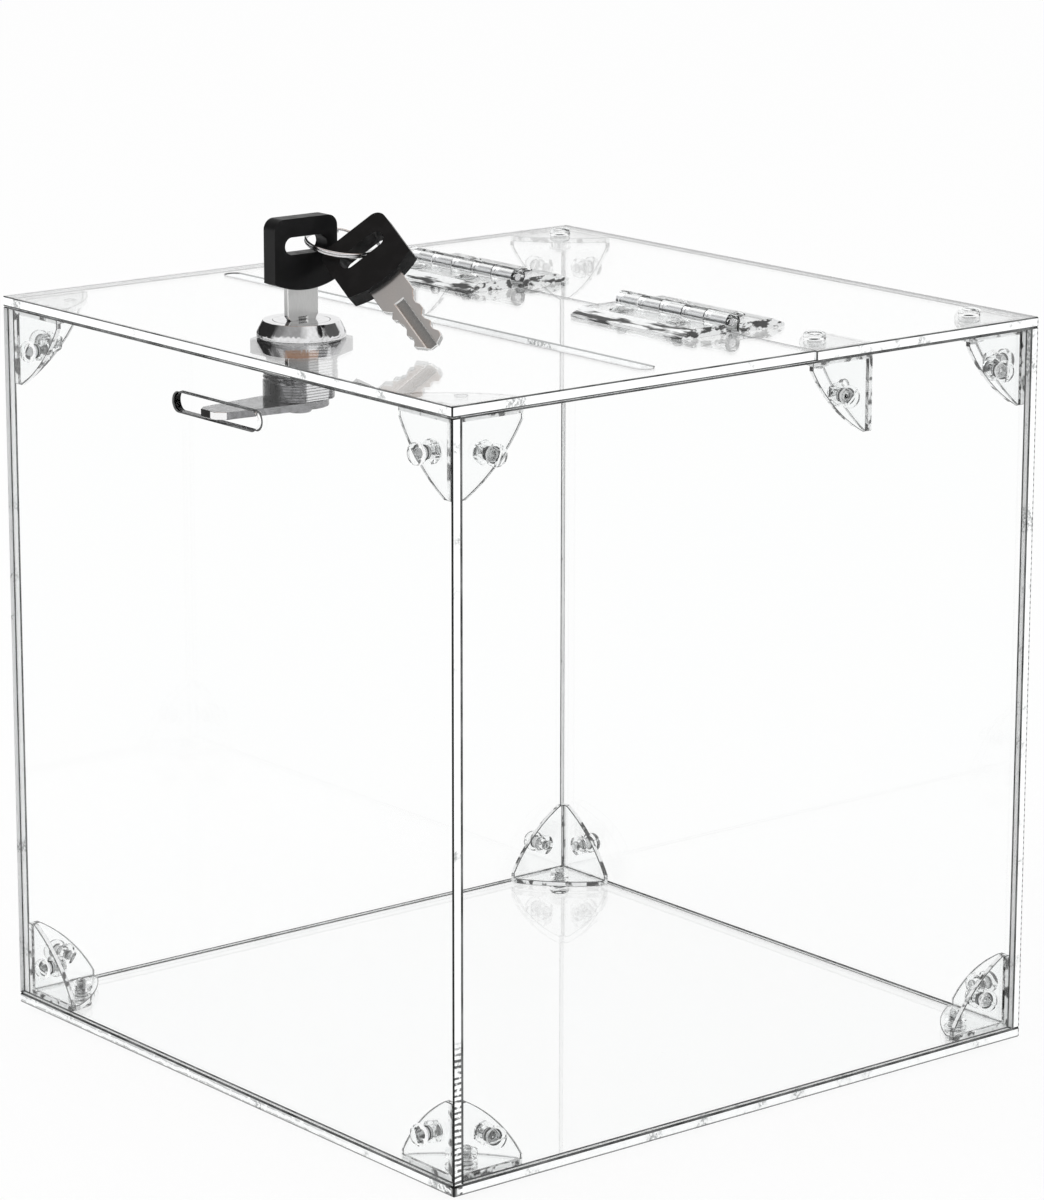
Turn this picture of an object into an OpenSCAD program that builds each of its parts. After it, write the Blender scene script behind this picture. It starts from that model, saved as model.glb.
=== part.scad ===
// Clear acrylic ballot box with a hinged, locked lid.
// Frame: +Z up, +X to the right of the lock side, front (lock side) at -Y.
// The origin lies under the middle of the box, at the level that it stands on. Millimetres.

/* [Box] */
// Width of the box, left to right
box_w = 200; // [120:1:400]
// Depth of the box, front to back
box_d = 200.6; // [120:0.2:400]
// Height of the four walls, without the floor and the top
wall_h = 198; // [100:1:400]
// Thickness of every acrylic sheet
sheet_t = 2.8; // [2:0.1:6]
// Depth of the hinged lid from the front edge to the seam
lid_d = 119.2; // [60:0.2:300]
// Gap between the lid and the fixed rear strip
seam_gap = 0.6; // [0.2:0.1:2]
// Gap under the closed lid
lid_gap = 0.2; // [0.1:0.05:0.5]

/* [Openings] */
// Length of the ballot slot
slot_l = 183; // [80:1:190]
// Width of the ballot slot
slot_w = 5; // [2:0.5:12]
// Distance of the ballot slot in front of the middle of the box
slot_y = -30; // [-60:1:0]
// Width of the front wall's slot for the cam
cam_slot_w = 37.5; // [30:0.5:60]
// Height of the front wall's slot for the cam
cam_slot_h = 5; // [4:0.5:10]
// Middle of the cam slot below the top of the front wall
cam_slot_down = 13.8; // [10:0.1:30]

/* [Corner brackets] */
// Leg of a bracket, measured from its corner
bracket_leg = 21.2; // [15:0.1:40]
// Wall thickness of a bracket
bracket_t = 1.6; // [1:0.1:3]
// Bolt position from the bracket's corner, along both legs
bracket_hole = 10.5; // [7:0.1:20]
// Width of a leg's cut-off tip
bracket_tip = 3; // [1:0.5:6]

/* [Bolts and nuts] */
// Diameter of a bolt's shank
bolt_d = 2.9; // [2:0.1:6]
// Length of a bolt under its head
bolt_l = 7.6; // [5:0.1:20]
// Diameter of a bolt's pan head
head_d = 6; // [4:0.1:10]
// Height of a bolt's pan head
head_h = 2; // [1:0.1:4]
// Diameter of the clearance holes
hole_d = 3.2; // [2.2:0.1:6.5]
// Width of a nut across its flats
nut_af = 5.5; // [4:0.1:10]
// Height of a nut
nut_h = 2.4; // [1.5:0.1:5]

/* [Hinges] */
// Length of a hinge along its pin
hinge_l = 45; // [20:1:80]
// Open width of a hinge
hinge_w = 36.6; // [20:0.1:60]
// Distance from the middle of the box to the middle of a hinge
hinge_x = 45; // [30:1:70]
// Height of the hinge pin above the lid
hinge_rise = 2.7; // [2:0.1:5]
// Diameter of the hinge barrel
barrel_d = 5.2; // [4:0.1:8]
// Diameter of the hinge pin
pin_d = 2; // [1:0.1:4]
// Thickness of a hinge leaf beside the barrel
leaf_t = 2.5; // [1.5:0.1:4]
// Knuckles in one hinge
knuckles = 5; // [3:2:7]

/* [Cam lock] */
// Distance of the lock in front of the middle of the box
lock_y = -72; // [-85:1:-50]
// Diameter of the lock's threaded body
lock_d = 19; // [16:0.5:25]
// Width across the flats of the threaded body
lock_flats = 16.4; // [13:0.1:22]
// Diameter of the lock's head
lock_head_d = 23.6; // [20:0.1:30]
// Height of the lock's head
lock_head_h = 4.3; // [2:0.1:8]
// Length of the lock's body under the lid's top face
lock_body_l = 16.1; // [12:0.1:30]
// Pitch of the lock's thread
thread_pitch = 1.1; // [0.5:0.1:2]
// Width of the lock nut across its flats
lock_nut_af = 23.6; // [20:0.1:30]
// Height of the lock nut
lock_nut_h = 4; // [2:0.1:6]
// Reach of the cam from the lock's axis
cam_reach = 30.3; // [20:0.1:45]
// Thickness of the cam
cam_t = 2; // [1:0.1:4]

/* [Keys] */
// Width of a key's plastic head
key_head_w = 20.2; // [15:0.1:30]
// Height of a key's plastic head
key_head_h = 19.1; // [15:0.1:30]
// Thickness of a key's plastic head
key_head_t = 5; // [3:0.1:7]
// Length of a key's blade outside the head
blade_l = 25.6; // [18:0.1:40]
// Length of the wide part of the blade, down to its shoulders
shoulder_l = 8; // [3:0.1:12]
// Thickness of a key's blade
blade_t = 1.75; // [1:0.05:3]
// Mean radius of the split ring
ring_r = 9.8; // [6:0.1:15]
// Diameter of the ring's wire
ring_wire = 0.72; // [0.5:0.02:1.5]

/* [Hidden] */
$fn = 64;

// Levels and inner faces of the box
floor_z = head_h;
wall_z0 = floor_z + sheet_t;
wall_z1 = wall_z0 + wall_h;
strip_z1 = wall_z1 + sheet_t;
lid_z0 = wall_z1 + lid_gap;
lid_z1 = lid_z0 + sheet_t;
in_x = box_w / 2 - sheet_t;
in_y = box_d / 2 - sheet_t;
seam_y = -box_d / 2 + lid_d + seam_gap / 2;
side_l = 2 * in_y;

// Bolt positions
bolt_x = in_x - bracket_hole;
bolt_y = in_y - bracket_hole;
bolt_z_low = wall_z0 + bracket_hole;
bolt_z_top = wall_z1 - bracket_hole;
bracket_seam_y = seam_y + 22;
bolt_seam_y = bracket_seam_y - bracket_hole;
nut_reach = sheet_t + bracket_t;
nut_bore_d = bolt_d + 0.1;

// Driver slot across a bolt head
driver_w = 0.7;
driver_deep = 0.8;

// Hinge parts
hinge_z = lid_z1 + hinge_rise;
barrel_r = barrel_d / 2;
knuckle_l = hinge_l / knuckles;
knuckle_gap = 0.2;
leaf_reach = hinge_w / 2;
leaf_inner = 2.2;
leaf_edge_t = 0.8;
leaf_slope = 4.3;
leaf_hole_x = 11.5;
leaf_hole_y = 9.7;
counterbore_d = 6.6;
leaf_floor_t = 1.2;
running_fit = 0.05;

// Lock parts, measured from the lid's top face
lock_bore_fit = 0.1;
lock_rim_h = 1.2;
lock_face_d = 20.4;
thread_deep = 0.45;
thread_z = -11.6;
plug_d = 12.6;
plug_flange_d = 15;
plug_flange_h = 1.2;
plug_tail = 5;
cam_hole = 5.1;
keyway = [2.05, 8.7];
keyway_z = -14.2;
wafer = [4.4, 11.6, 1];
wafer_window = 8.5;
wafer_z0 = -11.5;
wafer_step = 2.4;
wafer_count = 5;
screw_shank_d = 2.4;
screw_head_d = 8.6;
screw_head_h = 1.8;
screw_l = 3.2;

// Keys, with the blade pointing down from the middle of the head's lower edge
head_round = 3;
head_belly_r = 24.3;
key_slot = [13.6, 4.6];
key_slot_z = 11.9;
key_1_z = lid_z1 + lock_head_h + 0.2 + shoulder_l;
key_2_pos = [24.15, -62.2, lid_z1 + 15.9];
key_2_tilt = [48.6, -35.8, -66.6];
ring_pos = [4.2, -61.4, lid_z1 + 23.95];
ring_tilt = [0.3, 12, 0];

// Panels

module slot_2d(l, w) {
    square([l - w, w], center = true);
    for (s = [-1, 1])
        translate([s * (l - w) / 2, 0]) circle(d = w);
}

// A wall's hole, drilled along Y at x and z
module y_hole(x, y, z, d) {
    translate([x, y, z]) rotate([90, 0, 0]) cylinder(d = d, h = 3 * sheet_t, center = true);
}

// A wall's hole, drilled along X at y and z
module x_hole(x, y, z, d) {
    translate([x, y, z]) rotate([0, 90, 0]) cylinder(d = d, h = 3 * sheet_t, center = true);
}

module z_hole(x, y, z, d) {
    translate([x, y, z]) cylinder(d = d, h = 3 * sheet_t, center = true);
}

// Floor sheet, with one bolt hole at each corner
module bottom_panel() {
    color([0.9, 0.96, 0.97, 0.3])
    difference() {
        translate([-box_w / 2, -box_d / 2, floor_z]) cube([box_w, box_d, sheet_t]);
        for (sx = [-1, 1], sy = [-1, 1])
            z_hole(sx * bolt_x, sy * bolt_y, floor_z, hole_d);
    }
}

// Wall that spans the whole width, at the front or the back
module cross_wall(s) {
    translate([-box_w / 2, s > 0 ? in_y : -in_y - sheet_t, wall_z0])
        cube([box_w, sheet_t, wall_h]);
}

module front_panel() {
    color([0.9, 0.96, 0.97, 0.3])
    difference() {
        cross_wall(-1);
        for (sx = [-1, 1], z = [bolt_z_low, bolt_z_top - lid_gap])
            y_hole(sx * bolt_x, -in_y, z, hole_d);
        translate([0, -in_y, wall_z1 - cam_slot_down]) rotate([90, 0, 0])
            linear_extrude(3 * sheet_t, center = true) slot_2d(cam_slot_w, cam_slot_h);
    }
}

module back_panel() {
    color([0.9, 0.96, 0.97, 0.3])
    difference() {
        cross_wall(1);
        for (sx = [-1, 1], z = [bolt_z_low, bolt_z_top])
            y_hole(sx * bolt_x, in_y, z, hole_d);
    }
}

// Wall that fits between the front and the back wall
module side_wall(s) {
    color([0.9, 0.96, 0.97, 0.3])
    difference() {
        translate([s > 0 ? in_x : -in_x - sheet_t, -in_y, wall_z0])
            cube([sheet_t, side_l, wall_h]);
        for (sy = [-1, 1])
            x_hole(s * in_x, sy * bolt_y, bolt_z_low, hole_d);
        x_hole(s * in_x, -bolt_y, bolt_z_top - lid_gap, hole_d);
        x_hole(s * in_x, bolt_y, bolt_z_top, hole_d);
        x_hole(s * in_x, bolt_seam_y, bolt_z_top, hole_d);
    }
}

module left_panel() {
    side_wall(-1);
}

module right_panel() {
    side_wall(1);
}

// Fixed rear part of the top, behind the seam
module top_rear_strip() {
    y0 = seam_y + seam_gap / 2;
    color([0.9, 0.96, 0.97, 0.3])
    difference() {
        translate([-box_w / 2, y0, wall_z1]) cube([box_w, box_d / 2 - y0, sheet_t]);
        for (sx = [-1, 1], y = [bolt_seam_y, bolt_y])
            z_hole(sx * bolt_x, y, strip_z1, hole_d);
        for (sx = [-1, 1], s = [-1, 1])
            z_hole(sx * hinge_x + s * leaf_hole_x, seam_y + leaf_hole_y, strip_z1, hole_d);
    }
}

// Outline of the lock's threaded body, a circle with two flats
module lock_body_2d(grow) {
    intersection() {
        circle(d = lock_d + 2 * grow);
        square([lock_flats + 2 * grow, lock_d + 2], center = true);
    }
}

// Hinged front part of the top, with the ballot slot and the lock's hole
module lid() {
    color([0.9, 0.96, 0.97, 0.3])
    difference() {
        translate([-box_w / 2, -box_d / 2, lid_z0]) cube([box_w, lid_d, sheet_t]);
        translate([0, slot_y, lid_z0 - 1]) linear_extrude(sheet_t + 2) slot_2d(slot_l, slot_w);
        translate([0, lock_y, lid_z0 - 1]) linear_extrude(sheet_t + 2)
            lock_body_2d(lock_bore_fit);
        for (sx = [-1, 1], s = [-1, 1])
            z_hole(sx * hinge_x + s * leaf_hole_x, seam_y - leaf_hole_y, lid_z1, hole_d);
    }
}

// Corner brackets

// One triangular face, with cut-off tips and a long edge that bows out
module bracket_face() {
    back = 20;
    bow_r = sqrt(pow(bracket_leg + back, 2) + pow(bracket_tip + back, 2));
    intersection() {
        square(bracket_leg);
        translate([-back, -back]) circle(r = bow_r, $fn = 96);
    }
}

// Three faces that meet at the origin, with the legs along +X, +Y and +Z
module corner_bracket() {
    h = bracket_hole;
    color([0.93, 0.97, 0.97, 0.4])
    difference() {
        union() {
            linear_extrude(bracket_t) bracket_face();
            translate([0, bracket_t, 0]) rotate([90, 0, 0])
                linear_extrude(bracket_t) bracket_face();
            rotate([90, 0, 90]) linear_extrude(bracket_t) bracket_face();
        }
        translate([h, h, -1]) cylinder(d = hole_d, h = bracket_t + 2);
        translate([h, bracket_t + 1, h]) rotate([90, 0, 0])
            cylinder(d = hole_d, h = bracket_t + 2);
        translate([-1, h, h]) rotate([0, 90, 0]) cylinder(d = hole_d, h = bracket_t + 2);
    }
}

// A bracket in the corner at x, y and z, turned to face the middle of the box
module bracket_at(x, y, z, down) {
    translate([x, y, z])
        mirror([x > 0 ? 1 : 0, 0, 0]) mirror([0, y > 0 ? 1 : 0, 0])
        mirror([0, 0, down ? 1 : 0]) corner_bracket();
}

module bracket_bottom_front_left() {
    bracket_at(-in_x, -in_y, wall_z0, false);
}

module bracket_bottom_front_right() {
    bracket_at(in_x, -in_y, wall_z0, false);
}

module bracket_bottom_back_left() {
    bracket_at(-in_x, in_y, wall_z0, false);
}

module bracket_bottom_back_right() {
    bracket_at(in_x, in_y, wall_z0, false);
}

module bracket_top_front_left() {
    bracket_at(-in_x, -in_y, wall_z1 - lid_gap, true);
}

module bracket_top_front_right() {
    bracket_at(in_x, -in_y, wall_z1 - lid_gap, true);
}

module bracket_top_back_left() {
    bracket_at(-in_x, in_y, wall_z1, true);
}

module bracket_top_back_right() {
    bracket_at(in_x, in_y, wall_z1, true);
}

module bracket_seam_left() {
    bracket_at(-in_x, bracket_seam_y, wall_z1, true);
}

module bracket_seam_right() {
    bracket_at(in_x, bracket_seam_y, wall_z1, true);
}

// Bolts and nuts

// Pan head bolt: the head's underside lies at z = 0 and the shank points up
module bolt() {
    r = head_d / 2;
    color([0.93, 0.96, 0.96, 0.45])
    difference() {
        rotate_extrude()
            polygon([[0, -head_h], [0.62 * r, -head_h], [0.88 * r, -0.8 * head_h],
                [r, -0.4 * head_h], [r, 0], [bolt_d / 2, 0], [bolt_d / 2, bolt_l], [0, bolt_l]]);
        translate([-r, -driver_w / 2, -head_h - 1]) cube([2 * r, driver_w, driver_deep + 1]);
    }
}

// Hexagon nut that sits on a bracket, a sheet's thickness inside a bolt's head
module nut(reach) {
    color([0.93, 0.96, 0.96, 0.45])
    translate([0, 0, reach])
    difference() {
        cylinder(d = nut_af / cos(30), h = nut_h, $fn = 6);
        translate([0, 0, -1]) cylinder(d = nut_bore_d, h = nut_h + 2);
    }
}

// Each of these puts its children at every bolt of one side, with +Z pointing into the box
module at_floor() {
    for (sx = [-1, 1], sy = [-1, 1])
        translate([sx * bolt_x, sy * bolt_y, floor_z]) children();
}

module at_front() {
    for (sx = [-1, 1], z = [bolt_z_low, bolt_z_top - lid_gap])
        translate([sx * bolt_x, -box_d / 2, z]) rotate([-90, 0, 0]) children();
}

module at_back() {
    for (sx = [-1, 1], z = [bolt_z_low, bolt_z_top])
        translate([sx * bolt_x, box_d / 2, z]) rotate([90, 0, 0]) children();
}

module at_side(s) {
    sites = [[-bolt_y, bolt_z_low], [bolt_y, bolt_z_low],
        [-bolt_y, bolt_z_top - lid_gap], [bolt_y, bolt_z_top], [bolt_seam_y, bolt_z_top]];
    for (p = sites)
        translate([s * box_w / 2, p[0], p[1]]) rotate([0, -90 * s, 0]) children();
}

module at_strip() {
    for (sx = [-1, 1], y = [bolt_seam_y, bolt_y])
        translate([sx * bolt_x, y, strip_z1]) rotate([180, 0, 0]) children();
}

module bottom_bolts() {
    at_floor() bolt();
}

module bottom_nuts() {
    at_floor() nut(nut_reach);
}

module front_bolts() {
    at_front() bolt();
}

module front_nuts() {
    at_front() nut(nut_reach);
}

module back_bolts() {
    at_back() bolt();
}

module back_nuts() {
    at_back() nut(nut_reach);
}

module left_bolts() {
    at_side(-1) bolt();
}

module left_nuts() {
    at_side(-1) nut(nut_reach);
}

module right_bolts() {
    at_side(1) bolt();
}

module right_nuts() {
    at_side(1) nut(nut_reach);
}

module strip_bolts() {
    at_strip() bolt();
}

module strip_nuts() {
    at_strip() nut(nut_reach);
}

// Hinges

// Middle of knuckle i along the pin
function knuckle_x(i) = (i - (knuckles - 1) / 2) * knuckle_l;

// Knuckles from the first one on, every second one, grown by a clearance
module knuckle_row(first, grow) {
    for (i = [first : 2 : knuckles - 1])
        translate([knuckle_x(i), 0, 0]) rotate([0, 90, 0])
            cylinder(r = barrel_r + grow, h = knuckle_l - knuckle_gap + 2 * grow, center = true);
}

// Leaf with its own knuckles on the pin's axis; it reaches towards -Y, down to z = -base
module hinge_leaf(first, other, base) {
    top = -base + leaf_t;
    color([0.95, 0.97, 0.97, 0.5])
    difference() {
        union() {
            knuckle_row(first, 0);
            difference() {
                rotate([90, 0, 90]) linear_extrude(hinge_l, center = true)
                    polygon([[0, -base], [-leaf_reach, -base],
                        [-leaf_reach, -base + leaf_edge_t],
                        [-leaf_reach + leaf_slope, top], [0, top]]);
                translate([-hinge_l, -leaf_inner, -hinge_l / 2])
                    cube([2 * hinge_l, hinge_l, hinge_l]);
            }
            for (i = [first : 2 : knuckles - 1])
                translate([knuckle_x(i) - knuckle_l / 2 + knuckle_gap / 2, -leaf_inner - 1, -base])
                    cube([knuckle_l - knuckle_gap, leaf_inner + 1, leaf_t]);
        }
        knuckle_row(other, 0.25);
        rotate([0, 90, 0]) cylinder(d = pin_d + 2 * running_fit, h = hinge_l + 2, center = true);
        for (s = [-1, 1])
            translate([s * leaf_hole_x, -leaf_hole_y, -base]) {
                translate([0, 0, -1]) cylinder(d = hole_d, h = leaf_t + 2);
                translate([0, 0, leaf_floor_t]) cylinder(d = counterbore_d, h = leaf_t);
            }
    }
}

module lid_leaf(s) {
    translate([s * hinge_x, seam_y, hinge_z]) hinge_leaf(1, 0, hinge_rise);
}

module strip_leaf(s) {
    translate([s * hinge_x, seam_y, hinge_z]) rotate([0, 0, 180])
        hinge_leaf(0, 1, hinge_z - strip_z1);
}

module hinge_leaf_lid_left() {
    lid_leaf(-1);
}

module hinge_leaf_lid_right() {
    lid_leaf(1);
}

module hinge_leaf_strip_left() {
    strip_leaf(-1);
}

module hinge_leaf_strip_right() {
    strip_leaf(1);
}

module hinge_pin(s) {
    color([0.85, 0.85, 0.86])
    translate([s * hinge_x, seam_y, hinge_z]) rotate([0, 90, 0])
        cylinder(d = pin_d, h = hinge_l - 0.4, center = true);
}

module hinge_pin_left() {
    hinge_pin(-1);
}

module hinge_pin_right() {
    hinge_pin(1);
}

// Bolt sites of both hinges' leaves on the lid or on the strip
module at_leaf(side, z) {
    for (sx = [-1, 1], s = [-1, 1])
        translate([sx * hinge_x + s * leaf_hole_x, seam_y + side * leaf_hole_y, z])
            rotate([180, 0, 0]) children();
}

module hinge_bolts_lid() {
    at_leaf(-1, lid_z1 + leaf_floor_t) bolt();
}

module hinge_nuts_lid() {
    at_leaf(-1, lid_z1) nut(sheet_t);
}

module hinge_bolts_strip() {
    at_leaf(1, strip_z1 + leaf_floor_t) bolt();
}

module hinge_nuts_strip() {
    at_leaf(1, strip_z1) nut(sheet_t);
}

// Cam lock

// Places its children on the lock's axis, at the lid's top face
module at_lock() {
    translate([0, lock_y, lid_z1]) children();
}

// Grooves of the thread's profile, from the lid's underside down
module thread_profile() {
    r = lock_d / 2;
    turns = floor((-thread_z - sheet_t) / thread_pitch);
    polygon([
        [0, 0.01],
        [r, 0.01],
        [r, -sheet_t],
        for (i = [0 : turns - 1], k = [0.5, 1])
            [k == 1 ? r : r - thread_deep, -sheet_t - (i + k) * thread_pitch],
        [r, -lock_body_l],
        [0, -lock_body_l]
    ]);
}

// Cast body: bevelled head on the lid, threaded body with two flats, bore for the plug
module lock_housing() {
    color([0.83, 0.83, 0.84])
    at_lock()
    difference() {
        union() {
            cylinder(d = lock_head_d, h = lock_rim_h);
            translate([0, 0, lock_rim_h])
                cylinder(d1 = lock_head_d, d2 = lock_face_d, h = lock_head_h - lock_rim_h);
            intersection() {
                rotate_extrude() thread_profile();
                translate([-lock_flats / 2, -lock_d, -2 * lock_body_l])
                    cube([lock_flats, 2 * lock_d, 3 * lock_body_l]);
            }
        }
        translate([0, 0, -lock_body_l - 1])
            cylinder(d = plug_d + 2 * running_fit, h = lock_body_l + lock_head_h + 2);
        translate([0, 0, lock_head_h - plug_flange_h - 0.2])
            cylinder(d = plug_flange_d + 4 * running_fit, h = plug_flange_h + 1);
    }
}

// Hexagon nut that clamps the lid against the lock's head
module lock_nut() {
    color([0.8, 0.8, 0.81])
    at_lock() translate([0, 0, -sheet_t - lock_nut_h])
    difference() {
        cylinder(d = lock_nut_af / cos(30), h = lock_nut_h, $fn = 6);
        translate([0, 0, -1]) cylinder(d = lock_d + 0.1, h = lock_nut_h + 2);
    }
}

// Turning barrel with the keyway, the wafers' chambers and a square tail for the cam
module lock_plug() {
    tail_z = -lock_body_l - 0.2;
    color([0.8, 0.8, 0.8])
    at_lock()
    difference() {
        union() {
            translate([0, 0, tail_z]) cylinder(d = plug_d, h = -tail_z + lock_head_h);
            translate([0, 0, lock_head_h - plug_flange_h])
                cylinder(d = plug_flange_d, h = plug_flange_h);
            translate([-plug_tail / 2, -plug_tail / 2, tail_z - cam_t])
                cube([plug_tail, plug_tail, cam_t + 1]);
        }
        translate([-keyway[0] / 2, -keyway[1] / 2, keyway_z])
            cube([keyway[0], keyway[1], lock_head_h - keyway_z + 1]);
        for (i = [0 : wafer_count - 1])
            translate([0, 0, wafer_z0 + i * wafer_step])
                cube([wafer[0] + 0.1, wafer[1] + 0.2, wafer[2] + 0.1], center = true);
        translate([0, 0, tail_z - cam_t - 1]) cylinder(d = screw_shank_d, h = screw_l + 1);
    }
}

// Flat tumblers that the key draws into the plug, each with a window for the blade
module lock_wafers() {
    color([0.8, 0.66, 0.36])
    at_lock()
    for (i = [0 : wafer_count - 1])
        translate([0, 0, wafer_z0 + i * wafer_step])
        difference() {
            cube(wafer, center = true);
            cube([keyway[0], wafer_window, 2 * wafer[2]], center = true);
        }
}

// Flat cam on the plug's tail; its tip reaches through the front wall's slot when locked
module lock_cam() {
    hub_r = 8;
    color([0.78, 0.78, 0.79])
    at_lock() translate([0, 0, -lock_body_l - 0.2 - cam_t])
    difference() {
        union() {
            cylinder(r = hub_r, h = cam_t);
            linear_extrude(cam_t)
                polygon([[7.4, 2], [7.7, -6], [5.25, -cam_reach + 2.2], [3.2, -cam_reach],
                    [-3.2, -cam_reach], [-5.25, -cam_reach + 2.2], [-7.7, -6], [-7.4, 2]]);
        }
        translate([0, 0, cam_t / 2]) cube([cam_hole, cam_hole, 2 * cam_t], center = true);
    }
}

module cam_screw() {
    color([0.75, 0.75, 0.76])
    at_lock() translate([0, 0, -lock_body_l - 0.2 - cam_t])
    difference() {
        union() {
            cylinder(d = screw_shank_d, h = screw_l);
            rotate([180, 0, 0]) cylinder(d1 = screw_head_d, d2 = 0.75 * screw_head_d, h = screw_head_h);
        }
        for (a = [0, 90])
            rotate([0, 0, a]) translate([0, 0, -screw_head_h]) cube([4, 0.8, 1.6], center = true);
    }
}

// Keys and ring

// Side view of the head, in X and Y, with the middle of its lower edge at the origin
module key_head_2d() {
    half = key_head_w / 2;
    intersection() {
        union() {
            translate([-half, 0]) square([key_head_w, key_head_h - head_round]);
            translate([-half + head_round, 0]) square([key_head_w - 2 * head_round, key_head_h]);
            for (s = [-1, 1])
                translate([s * (half - head_round), key_head_h - head_round])
                    circle(r = head_round);
        }
        translate([0, head_belly_r]) circle(r = head_belly_r, $fn = 96);
    }
}

// Side view of the blade: tang, shoulders and double-sided cuts
module blade_2d() {
    polygon([[-3.5, 7], [-3.5, 0.6], [-4.95, 0.6], [-4.95, -shoulder_l + 1],
        [-4.2, -shoulder_l], [-3.1, -9.2], [-4.1, -10.4], [-4.1, -11.2], [-3.2, -12.3],
        [-3.2, -13.4], [-2.7, -14.4], [-2.7, -16.1], [-3.5, -17.4], [-3.5, -18.2],
        [-2.9, -19.3], [-2.9, -20.6], [-3.8, -22], [-0.6, -blade_l], [1.4, -blade_l],
        [3.6, -24.2], [3.9, -22.6], [3, -21], [3, -19.6], [3.7, -18.4], [2.8, -16.6],
        [2.8, -15.2], [4, -13.6], [4, -12.2], [3.4, -11], [3.4, -9.8], [3.9, -8.9],
        [4.2, -shoulder_l], [4.95, -shoulder_l + 1], [4.95, 0.6], [3.5, 0.6], [3.5, 7]]);
}

// Turns a side view into a solid of thickness t across X, with the head up
module upright(t) {
    rotate([90, 0, 90]) linear_extrude(t, center = true) children();
}

// Plastic head moulded over the blade's tang, with a slot for the ring
module key_head() {
    color([0.07, 0.07, 0.075])
    difference() {
        upright(key_head_t) key_head_2d();
        upright(key_head_t + 2) translate([0, key_slot_z]) slot_2d(key_slot[0], key_slot[1]);
        upright(blade_t) blade_2d();
    }
}

// Plated blade with a milled groove on both faces
module key_blade() {
    groove_w = 2.8;
    groove_deep = 0.45;
    color([0.8, 0.79, 0.77])
    difference() {
        upright(blade_t) blade_2d();
        for (s = [-1, 1])
            translate([s * blade_t / 2, 0, -shoulder_l - blade_l / 2 + 0.6])
                cube([2 * groove_deep, groove_w, blade_l], center = true);
    }
}

module at_key_1() {
    translate([0, lock_y, key_1_z]) children();
}

module at_key_2() {
    translate(key_2_pos) rotate(key_2_tilt) children();
}

module key_1_head() {
    at_key_1() key_head();
}

module key_1_blade() {
    at_key_1() key_blade();
}

module key_2_head() {
    at_key_2() key_head();
}

module key_2_blade() {
    at_key_2() key_blade();
}

// Split ring: two turns of wire, one above the other
module key_ring() {
    color([0.86, 0.86, 0.87])
    translate(ring_pos) rotate(ring_tilt)
        rotate_extrude()
            for (s = [-1, 1])
                translate([ring_r, s * 0.47 * ring_wire]) circle(d = ring_wire, $fn = 24);
}

bottom_panel();
front_panel();
back_panel();
left_panel();
right_panel();
top_rear_strip();
lid();
bracket_bottom_front_left();
bracket_bottom_front_right();
bracket_bottom_back_left();
bracket_bottom_back_right();
bracket_top_front_left();
bracket_top_front_right();
bracket_top_back_left();
bracket_top_back_right();
bracket_seam_left();
bracket_seam_right();
bottom_bolts();
bottom_nuts();
front_bolts();
front_nuts();
back_bolts();
back_nuts();
left_bolts();
left_nuts();
right_bolts();
right_nuts();
strip_bolts();
strip_nuts();
hinge_leaf_lid_left();
hinge_leaf_lid_right();
hinge_leaf_strip_left();
hinge_leaf_strip_right();
hinge_pin_left();
hinge_pin_right();
hinge_bolts_lid();
hinge_nuts_lid();
hinge_bolts_strip();
hinge_nuts_strip();
lock_housing();
lock_nut();
lock_plug();
lock_wafers();
lock_cam();
cam_screw();
key_1_head();
key_1_blade();
key_ring();
key_2_head();
key_2_blade();
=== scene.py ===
import math
import random

import bmesh
import bpy
from mathutils import Euler, Matrix, Vector


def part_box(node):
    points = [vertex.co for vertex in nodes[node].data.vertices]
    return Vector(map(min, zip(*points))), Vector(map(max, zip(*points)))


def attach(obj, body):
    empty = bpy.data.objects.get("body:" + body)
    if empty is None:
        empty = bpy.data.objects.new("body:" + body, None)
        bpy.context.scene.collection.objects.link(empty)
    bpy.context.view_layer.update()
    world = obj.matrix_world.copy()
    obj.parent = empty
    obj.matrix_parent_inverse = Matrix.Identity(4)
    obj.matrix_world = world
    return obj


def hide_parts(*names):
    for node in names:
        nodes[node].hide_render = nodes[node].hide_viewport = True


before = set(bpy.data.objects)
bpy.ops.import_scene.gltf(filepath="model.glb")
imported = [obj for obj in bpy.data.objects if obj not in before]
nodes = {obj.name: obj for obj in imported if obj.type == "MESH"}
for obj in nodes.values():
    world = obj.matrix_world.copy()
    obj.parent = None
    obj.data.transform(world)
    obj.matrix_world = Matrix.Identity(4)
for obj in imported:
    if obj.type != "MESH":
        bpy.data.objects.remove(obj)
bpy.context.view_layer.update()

mm = 0.001

# The acrylic sheets: floor, four walls, fixed rear strip and hinged lid, all sawn from one 2.8 mm cast
# sheet. Their faces are polished like glass, and the sawn edges are clear with a trace of the saw.
# Every arris is broken with a scraper, and that narrow facet shows as a dark line. The line is painted
# shade in the facet's colour.


def box_mm(node):
    """Lowest and highest corner of a CAD node, in millimetres."""
    return [[round(place / mm, 2) for place in corner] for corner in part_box(node)]


(_, front, floor_low), (right, back, floor_top) = box_mm("bottom_panel")
lid_top = box_mm("lid")[1][2]
slot_end, slot_front, slot_back = 89.8, -33, -27    # a hair beyond the ballot slot, in millimetres
cam_slot_side, cam_slot_foot = 40, 150    # the front panel's slot for the cam is within these
panel_thin_axis = {"bottom_panel": 2, "front_panel": 1, "back_panel": 1, "left_panel": 0,
                   "right_panel": 0, "top_rear_strip": 2, "lid": 2}


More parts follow.
